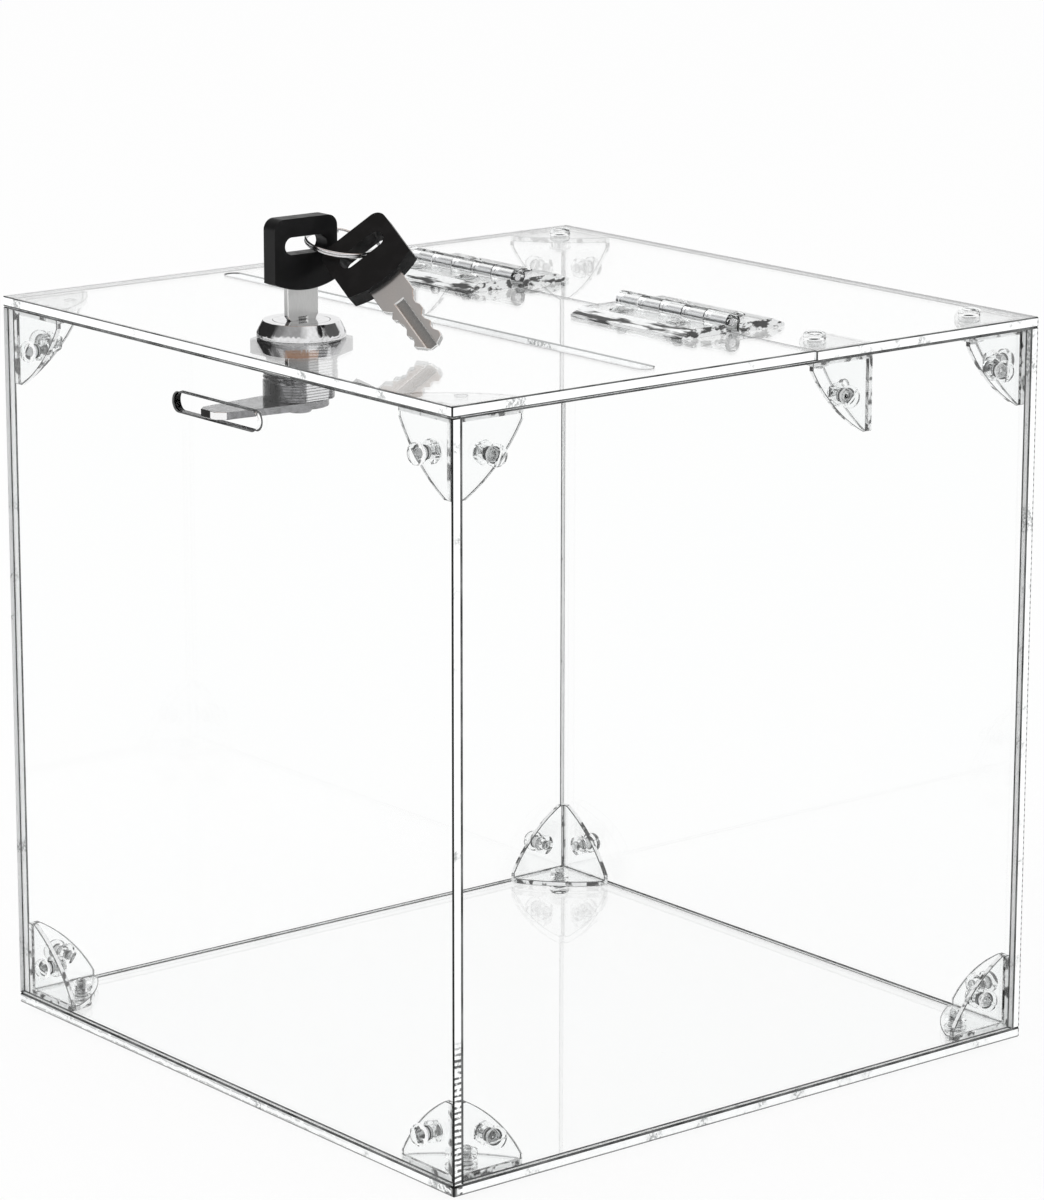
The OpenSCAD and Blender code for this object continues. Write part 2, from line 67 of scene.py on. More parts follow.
def colour(shade):
    """Red, green and blue, or one number for a grey, as a colour with its alpha."""
    return (shade, shade, shade, 1) if isinstance(shade, (int, float)) else (*shade, 1)


class Wire:
    """A socket in a material's nodes: arithmetic adds Math nodes, and node() adds any other kind."""

    def __init__(self, tree, socket=None):
        self.tree, self.socket = tree, socket

    def node(self, kind, settings=None, inputs=None, out=0):
        made = self.tree.nodes.new("ShaderNode" + kind)
        for key, value in (settings or {}).items():
            setattr(made, key, value)
        for key, value in (inputs or {}).items():
            if isinstance(value, Wire):
                self.tree.links.new(value.socket, made.inputs[key])
            else:
                made.inputs[key].default_value = value
        return Wire(self.tree, made.outputs[out]) if made.outputs else None

    def maths(self, operation, *values):
        return self.node("Math", {"operation": operation}, dict(enumerate(values)))

    def __add__(self, other):
        return self.maths("ADD", self, other)

    def __radd__(self, other):
        return self.maths("ADD", other, self)

    def __sub__(self, other):
        return self.maths("SUBTRACT", self, other)

    def __rsub__(self, other):
        return self.maths("SUBTRACT", other, self)

    def __mul__(self, other):
        return self.maths("MULTIPLY", self, other)

    def __rmul__(self, other):
        return self.maths("MULTIPLY", other, self)

    def __abs__(self):
        return self.maths("ABSOLUTE", self)

    def sine(self):
        return self.maths("SINE", self)

    def or_more(self, other):
        """The larger of the two."""
        return self.maths("MAXIMUM", self, other)

    def blend(self, low, high):
        """Colour low where this is 0 and high where it is 1. Inputs 6 and 7 are the Mix node's colours."""
        low, high = (end if isinstance(end, Wire) else colour(end) for end in (low, high))
        return self.node("Mix", {"data_type": "RGBA"}, {0: self, 6: low, 7: high}, out=2)


def material(name, surface, plain):
    """A material with plain values on its shader's sockets. surface(wire) gives those that vary."""
    made = bpy.data.materials.new(name)
    made.use_nodes = True
    shader = made.node_tree.nodes["Principled BSDF"]
    for key, value in plain.items():
        shader.inputs[key].default_value = value
    for key, value in surface(Wire(made.node_tree)).items():
        made.node_tree.links.new(value.socket, shader.inputs[key])
    return made


def place_mm(wire, stretch=(1, 1, 1)):
    """Place on the object in millimetres, stretched per axis."""
    spot = wire.node("TexCoord", out="Object")
    return wire.node("VectorMath", {"operation": "MULTIPLY"}, {0: spot, 1: [s / mm for s in stretch]})


def along_mm(wire, axis):
    """One coordinate of the place on the object, in millimetres."""
    return wire.node("SeparateXYZ", None, {0: place_mm(wire)}, out=axis)


def grain(wire, scale, detail=3.0, stretch=(1, 1, 1)):
    """Noise from 0 to 1, with scale in bumps per millimetre."""
    return wire.node("TexNoise", None, {"Vector": place_mm(wire, stretch), "Scale": scale,
                                        "Detail": detail, "Roughness": 0.55})


def between(wire, low, high):
    """0 at low and 1 at high, clamped. It falls where high is the smaller number."""
    return wire.node("MapRange", None, {"Value": wire, "From Min": low, "From Max": high})


def window(wire, low, high, soft):
    """1 from low to high, and 0 beyond a soft edge on both sides."""
    return between(wire, low - soft, low) * between(wire, high + soft, high)


def hazed(haze, clean, dull, rough, more):
    """A finish that goes from clean to dull, and gets rougher, as its haze goes from 0 to 1."""
    return {"Base Color": haze.blend(clean, dull), "Roughness": rough + more * haze}


def sheet_surface(wire):
    smear = between(grain(wire, 0.06, 4), 0.45, 0.75)
    cast_tint = grain(wire, 0.02, 2)
    return {"Base Color": cast_tint.blend((0.995, 1, 1), (1, 1, 0.998)), "Roughness": smear * 0.02}


def arris_surface(wire):
    run = between(grain(wire, 0.11, 4), 0.35, 0.65)
    chip = between(grain(wire, 2.2, 2), 0.4, 0.7)
    x, y = abs(along_mm(wire, "X")), along_mm(wire, "Y")
    at_corner = between(x, right - 2.6, right - 0.8) * between(abs(y), back - 2.5, back - 0.7)
    at_slot = between(x, slot_end + 0.4, slot_end) * window(y, slot_front, slot_back, 0.4)
    # The dark line is painted shade: near black at the back right corner and paler at the ballot slot.
    scraped_painted_dark = run.blend((0.05, 0.052, 0.052), (0.23, 0.235, 0.235))
    scraped_painted_dark = (0.9 * at_corner).blend(scraped_painted_dark, 0.003)
    return {"Base Color": at_slot.blend(scraped_painted_dark, (0.5, 0.51, 0.51)), "Roughness": 0.25 + 0.2 * chip}


def sawn_surface(wire):
    """Pale, with scuffs. The saw's teeth show low on the front corner, along the floor's front edge and
    on the back panel's edge, as a real bump with painted dark shade in the colour. The foot and the front
    tip of the floor are painted dark shade, and the whole edge gives off a faint painted glow in its shade."""
    x, y, z = (along_mm(wire, axis) for axis in "XYZ")
    polish = between(grain(wire, 0.35, 4), 0.52, 0.72)
    scuff = between(grain(wire, 0.09, 5), 0.56, 0.63) * between(grain(wire, 1.1, 3), 0.42, 0.58)
    strokes = z * 4.05 + 7 * grain(wire, 0.16, 4)
    teeth = between(strokes.sine(), -0.1, 0.45)
    worn = between(grain(wire, 0.5, 3), 0.36, 0.47)
    corner_edge = between(z, 44, 39) * between(x, right - 4, right - 3) * between(y, front + 3, front + 2.7)
    floor_edge = window(z, floor_low, floor_top - 0.2, 0.1) * (
        0.45 * between(y, front + 1.3, front + 0.3) * between(x, 70, 30))
    back_edge = between(y, back - 0.75, back - 0.65) * (0.45 + 0.55 * teeth)
    # Painted shade: the foot where the edge meets the table, and the floor's front tip.
    foot = between(z, floor_low + 0.6, floor_low + 0.55) * 0.8
    tip = between(x, right - 1.3, right - 0.8) * between(y, front + 1.3, front + 0.8)
    tip = tip * window(z, floor_low - 0.1, floor_top + 0.1, 0.1)
    saw_marks_and_painted_shade = (teeth * worn * (corner_edge + floor_edge)).or_more(back_edge).or_more(foot).or_more(tip)
    pale = scuff.blend(polish.blend((0.95, 0.96, 0.96), (0.88, 0.89, 0.89)), (0.4, 0.41, 0.41))
    shade = (0.92 * saw_marks_and_painted_shade).blend(pale, 0.03)
    bump = wire.node("Bump", None, {"Strength": 0.25, "Distance": 0.08 * mm, "Height": teeth})
    # The Emission Color makes the edge glow a little: a painted glow in its own shade.
    return {"Base Color": shade, "Emission Color": shade, "Roughness": 0.3 + 0.15 * polish, "Normal": bump}


def dress(node, skin, edge=None, width=0.25, steps=1, air=0, clamp=True):
    """Gives a CAD node its material and breaks its edges, with the broken edge in a material of its own.
    Some air round a clear node keeps two clear faces from lying in the same plane."""
    piece = nodes[node]
    piece.data.materials.clear()
    piece.data.materials.append(skin)
    weld = piece.modifiers.new("weld", "WELD")
    weld.merge_threshold = 0.001 * mm
    flat = piece.modifiers.new("one face per plane", "DECIMATE")
    flat.decimate_type = "DISSOLVE"
    flat.angle_limit = math.radians(0.5)
    if air:
        gap = piece.modifiers.new("hair of air", "DISPLACE")
        gap.mid_level = 0
        gap.strength = -air * mm
    bevel = piece.modifiers.new("broken edge", "BEVEL")
    bevel.width = width * mm
    bevel.segments = steps
    bevel.limit_method = "ANGLE"
    bevel.angle_limit = math.radians(30)
    bevel.use_clamp_overlap = clamp
    if edge:
        piece.data.materials.append(edge)
        bevel.material = 1
    shade = piece.modifiers.new("shading", "WEIGHTED_NORMAL")
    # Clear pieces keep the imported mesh's sharp edges. Metal and black plastic look faceted with them.
    is_clear = skin.node_tree.nodes["Principled BSDF"].inputs["Transmission Weight"].default_value > 0
    shade.keep_sharp = is_clear
    return piece


def skin_by_face(piece, skin, chosen):
    """Puts a further material on the faces that chosen(normal, centre) picks, centre in millimetres."""
    piece.data.materials.append(skin)
    for face in piece.data.polygons:
        if chosen(face.normal, face.center / mm):
            face.material_index = len(piece.data.materials) - 1


def is_sawn(panel, normal, centre):
    """The sheet's edges, without the polished sides of the front panel's slot for the cam."""
    in_cam_slot = panel == "front_panel" and abs(centre.x) <= cam_slot_side and centre.z >= cam_slot_foot
    return abs(normal[panel_thin_axis[panel]]) < 0.5 and not in_cam_slot


sheet = material("clear acrylic sheet", sheet_surface, {"IOR": 1.25, "Transmission Weight": 1})
lid_sheet = material("polished acrylic lid", sheet_surface, {"IOR": 1.7, "Transmission Weight": 1})
arris = material("scraped acrylic arris", arris_surface, {"IOR": 1.49, "Specular IOR Level": 0.12})
sawn = material("sawn acrylic edge with painted glow", sawn_surface, {"IOR": 1.49, "Emission Strength": 0.17})
for panel in panel_thin_axis:
    skin = lid_sheet if panel in ("top_rear_strip", "lid") else sheet
    piece = dress(panel, skin, arris, width=0.36, air=0.015, clamp=False)
    skin_by_face(piece, sawn, lambda normal, centre: is_sawn(panel, normal, centre))

# Corner brackets: three thin triangles moulded as one piece of clear polycarbonate, with rounded edges.
# The bottom corners, the two back corners, the front top corners and the two ends of the seam have one.
# Where two of the triangles meet, the thick plastic is dull and breaks up what is behind it. That is
# painted as near-black flecks of shade and a faint glow.
leg_thick, spine_soft = 1.6, 0.1
leg_x = box_mm("right_panel")[0][0] - leg_thick
leg_y = box_mm("back_panel")[0][1] - leg_thick
leg_low = floor_top + leg_thick + spine_soft
leg_high = box_mm("bracket_top_front_right")[1][2] - leg_thick
seam_leg_front, seam_leg_back = 39.8, 42.0
narrow_side = 2.3


def bracket_surface(wire):
    flow = grain(wire, 0.22, 3, (1, 1, 0.5))
    return {"Base Color": flow.blend((0.955, 0.965, 0.965), (0.985, 0.99, 0.99)),
            "Roughness": 0.02 + 0.05 * between(flow, 0.4, 0.7)}


# The rounded edge's dark colour is painted shade. The hinge leaves' edges use it too.
def bracket_edge_surface(wire):
    return hazed(between(grain(wire, 0.3, 3), 0.4, 0.6), 0.03, (0.3, 0.31, 0.31), 0.12, 0.15)


def thick_plastic(wire, painted_dark_spots):
    """Pale and dull, with near-black flecks of painted shade. Its shade also colours a painted glow."""
    haze = grain(wire, 0.9, 3)
    shade = (0.95 * painted_dark_spots).blend(haze.blend((0.72, 0.73, 0.73), (0.95, 0.96, 0.96)), 0.02)
    return {"Base Color": shade, "Emission Color": shade, "Roughness": 0.1 + 0.15 * haze}


def rim_surface(wire):
    return thick_plastic(wire, between(grain(wire, 0.28, 2, (1, 1, 0.8)), 0.53, 0.6))


def dull_spine(made):
    """Mixes the thick plastic, with its painted shade and painted glow, into a material where a place lies
    in two or three of the triangles.
    """
    tree = made.node_tree
    wire = Wire(tree)
    x, y, z = (along_mm(wire, axis) for axis in "XYZ")
    sides = between(abs(x), leg_x - spine_soft, leg_x + spine_soft)
    sides = sides + between(abs(y), leg_y - spine_soft, leg_y + spine_soft)
    sides = sides + window(y, seam_leg_front, seam_leg_back, spine_soft)
    sides = sides + (between(z, leg_low + spine_soft, leg_low - spine_soft) +
                     between(z, leg_high - spine_soft, leg_high + spine_soft))
    clear = Wire(tree, tree.nodes["Principled BSDF"].outputs[0])
    # The dull plastic carries painted shade and a painted glow.
    dull = wire.node("BsdfPrincipled", None, {"IOR": 1.5, "Emission Strength": 0.3, **rim_surface(wire)})
    joined = wire.node("MixShader", None, {0: 0.8 * between(sides, 1.5, 1.9), 1: clear, 2: dull})
    tree.links.new(joined.socket, tree.nodes["Material Output"].inputs["Surface"])


def skin_narrow(piece, skin, widest):
    """Puts a further material on every flat side of a CAD node that is no wider than widest."""
    sides = {}
    for face in piece.data.polygons:
        plane = (*(round(n, 2) for n in face.normal), round(face.normal.dot(face.center) / mm, 1))
        sides.setdefault(plane, []).append(face)
    piece.data.materials.append(skin)
    for faces in sides.values():
        corners = [piece.data.vertices[i].co for face in faces for i in face.vertices]
        spread = sorted(max(c[i] for c in corners) - min(c[i] for c in corners) for i in range(3))
        if spread[1] < widest * mm:
            for face in faces:
                face.material_index = len(piece.data.materials) - 1


bracket = material("moulded clear bracket", bracket_surface, {"IOR": 1.5, "Transmission Weight": 1})
dull_spine(bracket)
bracket_edge = material("bracket edge", bracket_edge_surface, {"IOR": 1.58, "Transmission Weight": 0.4})
# The bracket rims glow a little: a painted glow, with painted shade in their flecks.
bracket_rim = material("bracket rim with painted glow", rim_surface, {"IOR": 1.5, "Emission Strength": 0.3})
for name in nodes:
    if name.startswith("bracket_"):
        skin_narrow(dress(name, bracket, bracket_edge, width=0.22, air=0.03), bracket_rim, narrow_side)

# Bolts and nuts: M3 pan head screws and hexagon nuts moulded in clear plastic, one pair at every hole
# of a bracket. The screw's slot is across its head, and its thread shows through the sheets.
# Their sizes are in millimetres.
bolt_head_r, bolt_head_h, bolt_length = 3.0, 2.0, 7.6
bolt_pitch, thread_root, thread_crest = 0.5, 1.2, 1.46
thread_neck, thread_run_out = 0.3, 0.6    # lengths with little thread, at the head and at the tip
driver_wide, driver_deep = 0.7, 0.8
nut_flats, nut_high, nut_bore_r = 5.5, 2.4, 1.5
nut_face_r, nut_round_r, nut_chamfer = 2.6, 3.25, 0.38    # its corners are turned off at both faces
bore_mouth_r, bore_chamfer = 1.75, 0.22
bolt_round, rings_a_turn = 24, 8
hair = 0.02    # gap to the plastic on both sides, so that no two faces lie in the same plane


def bolt_surface(wire):
    return hazed(grain(wire, 0.5, 2), (0.97, 0.975, 0.975), (0.995, 1, 1), 0.03, 0.07)


# The thread's near-black patches are painted shade.
def shank_surface(wire):
    return hazed(between(grain(wire, 0.6, 2), 0.38, 0.47), 0.05, (0.95, 0.96, 0.96), 0.05, 0.1)


def placed(name, data):
    """A new object in the scene."""
    piece = bpy.data.objects.new(name, data)
    bpy.context.scene.collection.objects.link(piece)
    return piece


def skin_rings(mesh, rings):
    """Faces between rings of as many points each, and a face over both ends."""
    for near, far in zip(rings, rings[1:]):
        for k in range(len(near)):
            n = (k + 1) % len(near)
            mesh.faces.new((near[k], far[k], far[n], near[n]))
    mesh.faces.new(rings[0])
    mesh.faces.new(rings[-1][::-1])


def lathed(rows, around):
    """Mesh from rings of (radius, height), from top to bottom. A radius may be a function of the angle
    and the height."""
    mesh = bmesh.new()
    rings = []
    for radius, height in rows:
        rings.append([])
        for k in range(around):
            a = 2 * math.pi * k / around
            r = radius(a, height) if callable(radius) else radius
            rings[-1].append(mesh.verts.new((r * math.cos(a), r * math.sin(a), height)))
    skin_rings(mesh, rings)
    data = bpy.data.meshes.new("turned")
    mesh.to_mesh(data)
    return data


def carved(data, tool, how):
    """Cuts one mesh with another, or keeps what they share."""
    pair = [placed("carving", shape) for shape in (data, tool)]
    cut = pair[0].modifiers.new("cut", "BOOLEAN")
    cut.operation, cut.object, cut.solver = how, pair[1], "EXACT"
    graph = bpy.context.evaluated_depsgraph_get()
    result = bpy.data.meshes.new_from_object(pair[0].evaluated_get(graph))
    for piece in pair:
        bpy.data.objects.remove(piece)
    return result


def thread(angle, height):
    """Radius of the screw thread, which fades out at the tip and under the head."""
    turn = (height / bolt_pitch - angle / (2 * math.pi)) % 1
    at_tip = max(0, (bolt_length + height) / thread_run_out)
    at_head = max(0, (-thread_neck - height) / thread_neck)
    fade = min(1, at_tip, at_head)
    return thread_root + (thread_crest - thread_root) * abs(2 * turn - 1) * (0.25 + 0.75 * fade)


def bolt_template():
    dome = [(1.4, bolt_head_h), (2.15, 1.93), (2.65, 1.7), (2.9, 1.35), (bolt_head_r, 0.9),
            (bolt_head_r, 0.12), (2.92, hair), (1.6, hair)]
    shank_rings = int(rings_a_turn * bolt_length / bolt_pitch) - 3
    shank = [(thread, -hair - i * bolt_pitch / rings_a_turn) for i in range(shank_rings)]
    turned = lathed(dome + shank + [(1.0, -bolt_length)], bolt_round)
    driver_place = Matrix.Translation((0, 0, bolt_head_h - driver_deep + 1))
    driver_size = Matrix.Diagonal((driver_wide, 2 * bolt_head_r + 2, 2, 1))
    cutter = bmesh.new()
    bmesh.ops.create_cube(cutter, size=1, matrix=driver_place @ driver_size)
    slot = bpy.data.meshes.new("driver slot")
    cutter.to_mesh(slot)
    return carved(turned, slot, "DIFFERENCE")


def nut_template():
    def both_ways(rows, around):
        return lathed(rows + [(radius, -height) for radius, height in rows[::-1]], around)

    half = nut_high / 2 - hair
    prism = both_ways([(nut_flats / math.sqrt(3), half)], 6)
    turned = both_ways([(nut_face_r, half + 0.01), (nut_round_r, half - nut_chamfer)], 32)
    bore = both_ways([(bore_mouth_r, nut_high), (bore_mouth_r, half), (nut_bore_r, half - bore_chamfer)],
                     bolt_round)
    return carved(carved(prism, turned, "INTERSECT"), bore, "DIFFERENCE")


def solids(piece):
    """Lowest and highest corner and points of each separate solid of a CAD node, in millimetres."""
    mesh = bmesh.new()
    mesh.from_mesh(piece.data)
    bmesh.ops.remove_doubles(mesh, verts=mesh.verts, dist=0.001 * mm)
    left_over = set(mesh.verts)
    while left_over:
        found, growing = set(), [left_over.pop()]
        while growing:
            vert = growing.pop()
            found.add(vert)
            near = {e.other_vert(vert) for e in vert.link_edges} & left_over
            left_over -= near
            growing += near
        points = [v.co / mm for v in found]
        low, high = (Vector(end(p[i] for p in points) for i in range(3)) for end in (min, max))
        yield low, high, points


def fasteners(node, template, chance, is_bolt):
    """One mesh with the template at every solid of a CAD node. A bolt's head is at its wide end."""
    joined = bmesh.new()
    for low, high, points in sorted(solids(nodes[node]), key=lambda found: found[0].to_tuple(2)):
        size, middle = high - low, (low + high) / 2
        axis = max(range(3), key=lambda i: abs(size[i] - (size[i - 1] + size[i - 2]) / 2))
        outward = Vector((0, 0, 0))
        outward[axis] = 1
        spot = middle
        if is_bolt:
            rim = [p[axis] for p in points if (p - middle).cross(outward).length > bolt_head_r - 0.5]
            outward *= 1 if sum(rim) / len(rim) > middle[axis] else -1
            spot = middle + outward * (size[axis] / 2 - bolt_head_h)
        spin = chance.uniform(0, math.pi) if node != "bottom_bolts" else 0
        turn = outward.to_track_quat("Z", "Y").to_matrix().to_4x4() @ Matrix.Rotation(spin, 4, "Z")
        part = template.copy()
        for face in part.polygons:
            on_shank = face.center.xy.length < thread_crest + 0.09 and face.center.z < -0.2
            face.material_index = int(is_bolt and on_shank)
        part.transform(Matrix.Diagonal((mm, mm, mm, 1)) @ Matrix.Translation(spot) @ turn)
        joined.from_mesh(part)
    bmesh.ops.recalc_face_normals(joined, faces=joined.faces)
    data = bpy.data.meshes.new("clear_" + node)
    joined.to_mesh(data)
    data.shade_smooth()
    data.set_sharp_from_angle(angle=math.radians(32))
    data.materials.append(bolt_clear)
    data.materials.append(bolt_shank)
    piece = placed("clear_" + node, data)
    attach(piece, "lid" if node.endswith("_lid") else "box")
    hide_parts(node)


bolt_clear = material("clear moulded bolt", bolt_surface, {"IOR": 1.2, "Transmission Weight": 1})
bolt_shank = material("clear moulded thread", shank_surface, {"IOR": 1.45, "Transmission Weight": 1})
one_bolt, one_nut, chance = bolt_template(), nut_template(), random.Random(7)
for name in sorted(nodes):
    if "bolts" in name:
        fasteners(name, one_bolt, chance, is_bolt=True)
    elif "nuts" in name:
        fasteners(name, one_nut, chance, is_bolt=False)

# Hinges: clear moulded leaves that turn on a bright drawn wire. Their outer edges are sloped, and each
# leaf is bolted down through two counterbored holes.
pin_low, pin_high = box_mm("hinge_pin_right")
pin_y = (pin_low[1] + pin_high[1]) / 2
knuckle_r = 3.2


def hinge_surface(wire):
    return hazed(grain(wire, 0.3, 3, (0.4, 1, 1)), (0.95, 0.96, 0.96), (0.985, 0.99, 0.99), 0.02, 0.05)


# The leaves' sloped sides: thick plastic with painted shade and a painted glow.
def slope_surface(wire):
    return thick_plastic(wire, between(grain(wire, 0.3, 3, (0.22, 1, 2.2)), 0.5, 0.57))


def pin_surface(wire):
    return hazed(grain(wire, 3, 3, (0.05, 1, 1)), (0.55, 0.55, 0.56), (0.8, 0.8, 0.81), 0.18, 0.15)


def is_slope(normal, centre):
    """The sides of a leaf and of its counterbores, away from the knuckles."""
    return -0.5 < normal.z < 0.95 and abs(centre.y - pin_y) > knuckle_r


hinge = material("clear moulded hinge", hinge_surface, {"IOR": 1.3, "Transmission Weight": 1})
hinge_edge = material("hinge edge", bracket_edge_surface, {"IOR": 1.5, "Transmission Weight": 0.4})
# The hinge slopes glow a little: a painted glow.
hinge_slope = material("hinge slope with painted glow", slope_surface, {"IOR": 1.5, "Emission Strength": 0.2})
pin_wire = material("bright drawn wire", pin_surface, {"Metallic": 1})
for name in nodes:
    if name.startswith("hinge_leaf"):
        skin_by_face(dress(name, hinge, hinge_edge, width=0.18, air=0.02), hinge_slope, is_slope)
    elif name.startswith("hinge_pin"):
        dress(name, pin_wire, width=0.15, steps=2)

# Cam lock: a die-cast zinc body with a polished chrome head, a plug that turns with the key, brass
# wafers, and a stamped cam held by a screw. A hexagon nut clamps it to the lid from below.
# The cast body's dark left side, its bright band to the right of its middle and the dark lines in its
# thread are painted reflection and shade in its colour.
body_across_x, body_across_y, body_middle = 0.63, 0.777, 55.9    # distance across the body's front
painted_light_from, painted_light_to, painted_shade_from, painted_shade_to = 3.2, 8.4, -3.4, -4.6


def chrome_surface(wire):
    return hazed(between(grain(wire, 0.7, 4), 0.35, 0.75), (0.8, 0.8, 0.81), 0.66, 0.04, 0.1)


def zinc_surface(wire):
    return hazed(between(grain(wire, 0.5, 4), 0.3, 0.75), (0.3, 0.3, 0.31), 0.16, 0.1, 0.14)


# Painted reflection and shade, fixed on the body: dark on its left, a bright band, dark thread lines.
def cast_surface(wire):
    haze = between(grain(wire, 0.8, 4), 0.3, 0.75)
    aside = body_across_x * along_mm(wire, "X") + body_across_y * along_mm(wire, "Y") + body_middle
    aside = aside + 1.2 * grain(wire, 0.4)
    painted_thread_shade = 0.6 * between((along_mm(wire, "Z") * 8.4).sine(), 0.2, 0.7)
    metal = haze.blend((0.24, 0.24, 0.25), 0.09)
    metal = window(aside, painted_light_from, painted_light_to, 0.5).blend(metal, (0.7, 0.7, 0.71))
    metal = between(aside, painted_shade_from, painted_shade_to).blend(metal, 0.012)
    return {"Base Color": painted_thread_shade.blend(metal, 0.02), "Roughness": 0.07 + 0.12 * haze}


# The cam's cropped end is a painted reflection: near black, and bright where x is beyond 1.2 mm.
def end_surface(wire):
    haze = between(grain(wire, 0.5, 4), 0.3, 0.75)
    painted_dark_reflection = haze.blend(0.008, 0.03)
    return {"Base Color": between(along_mm(wire, "X"), 0.9, 1.2).blend(painted_dark_reflection, 0.93),
            "Roughness": 0.1 + 0.14 * haze}


def brass_surface(wire):
    haze = between(grain(wire, 0.9, 3), 0.3, 0.7)
    return hazed(haze, (0.78, 0.58, 0.27), (0.6, 0.43, 0.2), 0.2, 0.2)


chrome = material("polished chrome plate", chrome_surface, {"Metallic": 1})
zinc = material("bright zinc plate", zinc_surface, {"Metallic": 1})
cast = material("die-cast zinc", cast_surface, {"Metallic": 1})
brass = material("stamped brass", brass_surface, {"Metallic": 1})
cam_end = material("cropped end of the cam", end_surface, {"Metallic": 1})
housing = dress("lock_housing", chrome, steps=3)
skin_by_face(housing, cast, lambda normal, centre: centre.z < lid_top - 0.1)
dress("lock_plug", chrome, width=0.12, steps=2)
# The nut wears the same painted reflection and shade.
dress("lock_nut", cast, width=0.3, steps=2)
cam = dress("lock_cam", zinc, width=0.35, steps=3)
skin_by_face(cam, cam_end, lambda normal, centre: centre.y < front + 1.3 and normal.y < -0.3)
dress("cam_screw", zinc, width=0.12, steps=2)
dress("lock_wafers", brass, width=0.05)

# Keys: a nickel-plated steel blade with cuts on both sides and a milled groove, and a black plastic
# head moulded over its end. One key is in the lock, and the other leans on the lid.
upright = Vector((1, 0, 0))    # across the first key's blade
lean = Euler([math.radians(a) for a in (48.6, -35.8, -66.6)]).to_matrix()
groove_half = 0.7    # the groove's floors are nearer than this to the blade's middle plane


def head_surface(wire):
    rubbed = between(grain(wire, 0.25, 4), 0.45, 0.7)
    bump = wire.node("Bump", None, {"Strength": 0.15, "Distance": 0.05 * mm, "Height": grain(wire, 5, 3)})
    return {**hazed(rubbed, (0.004, 0.004, 0.0044), (0.009, 0.009, 0.0095), 0.4, 0.14), "Normal": bump}


def blade_surface(wire):
    return hazed(grain(wire, 4, 3, (1, 1, 0.15)), (0.5, 0.5, 0.495), (0.66, 0.66, 0.655), 0.24, 0.16)


def cut_surface(wire):
    return hazed(grain(wire, 6, 2), (0.84, 0.84, 0.83), (0.97, 0.97, 0.96), 0.1, 0.1)


# The groove's dark floor is painted shade in the recess.
def groove_surface(wire):
    return hazed(grain(wire, 4, 3, (1, 1, 0.15)), 0.12, (0.5, 0.5, 0.49), 0.2, 0.16)


head_black = material("black key plastic", head_surface, {"IOR": 1.5, "Specular IOR Level": 0.2})
blade_nickel = material("nickel-plated blade", blade_surface, {"Metallic": 1})
blade_cut = material("bright cut edge", cut_surface, {"Metallic": 1})
blade_groove = material("milled groove", groove_surface, {"Metallic": 1})
for key, across in (("key_1", upright), ("key_2", lean @ upright)):
    dress(key + "_head", head_black, width=0.55, steps=3)
    blade = dress(key + "_blade", blade_nickel, blade_cut, width=0.16)
    depths = [v.co.dot(across) / mm for v in blade.data.vertices]
    middle = (min(depths) + max(depths)) / 2
    skin_by_face(blade, blade_groove, lambda normal, centre: abs(normal.dot(across)) > 0.9 and
                 abs(centre.dot(across) - middle) < groove_half)

# Split ring: two turns of bright nickel-plated wire, with a step where it passes from one turn to the
# next. It hangs through the slots of both heads.
ring_low, ring_high = (Vector(corner) * mm for corner in box_mm("key_ring"))
ring_middle = (ring_low + ring_high) / 2
ring_turn = Euler((math.radians(0.3), math.radians(12), 0)).to_matrix()
ring_wire = 0.72 * mm
ring_radius = (ring_high.y - ring_low.y - ring_wire) / 2
ring_start, ring_step = math.radians(150), math.radians(35)
ring_points, wire_round = 260, 16


def wire_surface(wire):
    return hazed(grain(wire, 1.5, 3), (0.62, 0.62, 0.63), (0.85, 0.85, 0.86), 0.08, 0.12)


def split_ring():
    mesh = bmesh.new()
    rings = []
    for i in range(ring_points + 1):
        turned = (4 * math.pi - ring_step) * i / ring_points
        share = min(max((turned - (2 * math.pi - ring_step)) / ring_step, 0), 1)
        lift = (share * share * (3 - 2 * share) - 0.5) * 0.94 * ring_wire
        out = Vector((math.cos(ring_start + turned), math.sin(ring_start + turned), 0))
        rings.append([])
        for k in range(wire_round):
            a = 2 * math.pi * k / wire_round
            spot = out * (ring_radius + math.cos(a) * ring_wire / 2)
            spot.z = lift + math.sin(a) * ring_wire / 2
            rings[-1].append(mesh.verts.new(ring_turn @ spot + ring_middle))
    skin_rings(mesh, rings)
    bmesh.ops.recalc_face_normals(mesh, faces=mesh.faces)
    for face in mesh.faces:
        face.smooth = len(face.verts) == 4
    data = bpy.data.meshes.new("split_ring")
    mesh.to_mesh(data)
    data.materials.append(material("nickel-plated wire", wire_surface, {"Metallic": 1}))
    piece = placed("split_ring", data)
    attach(piece, "ring")
    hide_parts("key_ring")


split_ring()

# The table: a plain white top. Rays that come straight from the camera, or through or off something
# shiny, see it lit up, so that the clear sheets don't grey it.


def emptied(owner):
    """The nodes of a material or a world, with none left in them."""
    owner.use_nodes = True
    owner.node_tree.nodes.clear()
    return Wire(owner.node_tree)


def square(name, size, height):
    """A flat square, lying level."""
    mesh = bmesh.new()
    bmesh.ops.create_grid(mesh, x_segments=1, y_segments=1, size=size / 2)
    data = bpy.data.meshes.new(name)
    mesh.to_mesh(data)
    piece = placed(name, data)
    piece.location.z = height
    return piece


def is_ray(wire, kind):
    """1 for rays of one kind and 0 for others."""
    return wire.node("LightPath", out="Is " + kind + " Ray")


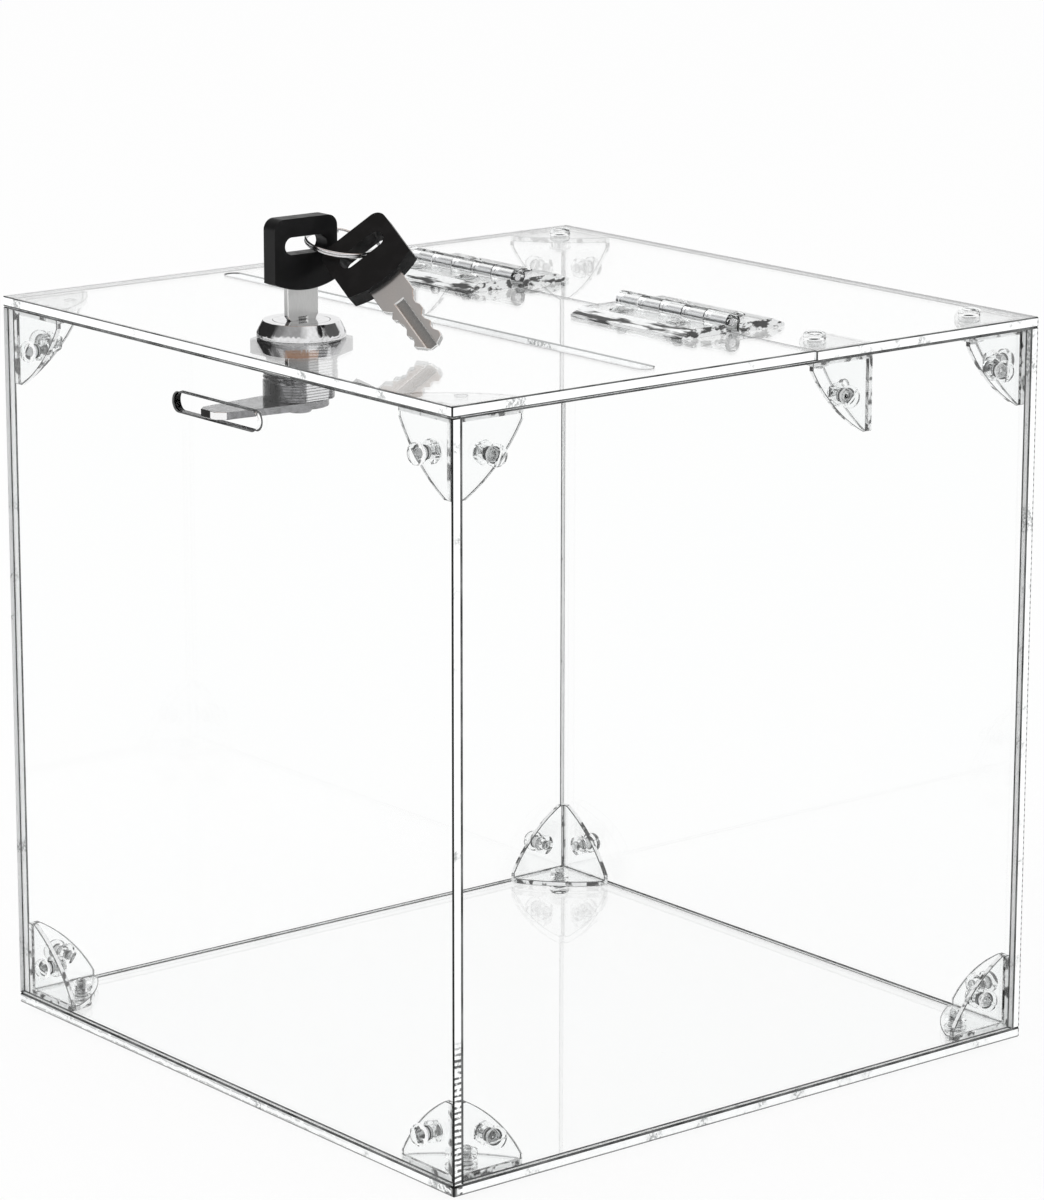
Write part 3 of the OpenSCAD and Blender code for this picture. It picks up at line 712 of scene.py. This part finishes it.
table = square("table_top", 9, 0)
table_white = bpy.data.materials.new("white table")
table_nodes = emptied(table_white)
seen = is_ray(table_nodes, "Camera") + is_ray(table_nodes, "Glossy")
seen = seen + is_ray(table_nodes, "Transmission")
pulp = grain(table_nodes, 0.02).blend(0.955, 0.965)
paper = table_nodes.node("BsdfDiffuse", None, {"Color": pulp})
glow = table_nodes.node("Emission", None, {"Color": colour(1), "Strength": 1.0})
mixed = table_nodes.node("MixShader", None, {0: between(seen, 0, 1) * 0.92, 1: paper, 2: glow})
table_nodes.node("OutputMaterial", None, {"Surface": mixed})
table.data.materials.append(table_white)

# Black cards: four of them lie on the table, 1.1 m from the lock. Only shiny things see them, and they
# give the chrome and the clear plastic their dark lines.
lock_y, card_ring, card_wide = -0.072, 1.1, 0.26
card_black = bpy.data.materials.new("black card")
card_nodes = emptied(card_black)
dull_black = card_nodes.node("BsdfDiffuse", None, {"Color": grain(card_nodes, 0.02).blend(0.004, 0.01)})
card_nodes.node("OutputMaterial", None, {"Surface": dull_black})
for name, azimuth, card_long in (("black_card_back", 152, 0.42), ("black_card_far", 175, 0.42),
                                 ("black_card_left", 198, 0.42), ("black_card_side", -121.7, 0.48)):
    turn = math.radians(azimuth)
    card = square(name, 1, 0.002)
    card.scale = (card_wide, card_long, 1)
    card.rotation_euler.z = turn
    card.location.xy = (card_ring * math.cos(turn), card_ring * math.sin(turn) + lock_y)
    card.data.materials.append(card_black)
    card.visible_camera = card.visible_diffuse = card.visible_transmission = card.visible_shadow = False

# The surround: white to the camera and through the clear plastic, and pale grey light on the rest.
# Shiny things see flags in it, each a part of the surround in its own shade, and they give the lock,
# the keys and the lid their bands. A single dark flag is seen through the clear plastic.
world = bpy.data.worlds.new("soft surround")
bpy.context.scene.world = world
sky = emptied(world)


def towards(axis):
    """One coordinate of the direction in which a ray leaves."""
    return sky.node("SeparateXYZ", None, {0: sky.node("TexCoord", out="Generated")}, out=axis)


def flag(azimuth, half, low, high, soft=0.03, blur=0.1):
    """Part of the surround: half wide on both sides of an azimuth, from height low to high."""
    c, s = math.cos(math.radians(azimuth)), math.sin(math.radians(azimuth))
    ahead = towards("X") * c + towards("Y") * s
    aside = towards("Y") * c - towards("X") * s
    angle = abs(sky.maths("ARCTAN2", aside, ahead))
    wide = math.radians(half)
    return between(angle, wide + blur, wide) * window(towards("Z"), low, high, soft)


in_gloss = flag(180, 25, 0.0, 0.56).blend(1, 0.02)
in_gloss = flag(-75, 34, 0.5, 0.8, 0.08, 0.4).blend(in_gloss, 0.42)
in_gloss = flag(-122, 24, 0.4, 0.84, 0.08, 0.3).blend(in_gloss, 0.27)
in_gloss = flag(-150, 24, 0.1, 0.6, 0.05, 0.3).blend(in_gloss, 0.03)
in_gloss = flag(26, 9, 0.4, 0.8).blend(in_gloss, 0.02)
in_gloss = flag(62, 22, 0.2, 0.58).blend(in_gloss, 0.12)
in_gloss = flag(-39, 105, 0.83, 0.975).blend(in_gloss, (0.52, 0.29, 0.17))    # a warm band high up
in_gloss = flag(-114, 9, 0.71, 0.82, 0.04).blend(in_gloss, 0.9)    # keeps the second key's blade light
through = flag(180, 14, 0.15, 0.6).blend(1, 0.05)
shade = is_ray(sky, "Glossy").blend(0.84, in_gloss)
shade = is_ray(sky, "Transmission").blend(shade, through)
shade = is_ray(sky, "Camera").blend(shade, 1)
light = sky.node("Background", None, {"Color": shade, "Strength": 1.0})
sky.node("OutputWorld", None, {"Surface": light})

# Two large soft boxes, one on each side of the camera. Shiny things don't see them, because their
# square shapes would make hard bands in the metal.
lit_spot = Vector((0, 0, 0.12))


def soft_box(name, place, watts):
    lamp = bpy.data.lights.new(name, "AREA")
    lamp.shape = "SQUARE"
    lamp.size = 1.6
    lamp.energy = watts
    piece = placed(name, lamp)
    piece.location = place
    piece.rotation_euler = (lit_spot - Vector(place)).to_track_quat("-Z", "Y").to_euler()
    piece.visible_glossy = False


soft_box("soft_box_left", (-0.6, -1.3, 1.4), 6)
soft_box("soft_box_right", (1.5, 0.5, 1.2), 5)

# The camera stands where the photograph was taken from: off the right front corner, higher than the
# lid, and looking down at the box through a long lens.
optics = bpy.data.cameras.new("camera")
optics.lens = 140.81
optics.sensor_width = 36
optics.sensor_fit = "AUTO"
optics.clip_start = 0.01
camera = placed("camera", optics)
camera.location = (0.9792, -0.7899, 0.4283)
camera.rotation_euler = [math.radians(a) for a in (76.3814, -0.0817, 51.0382)]
bpy.context.scene.camera = camera
bpy.context.scene.view_settings.view_transform = "Standard"
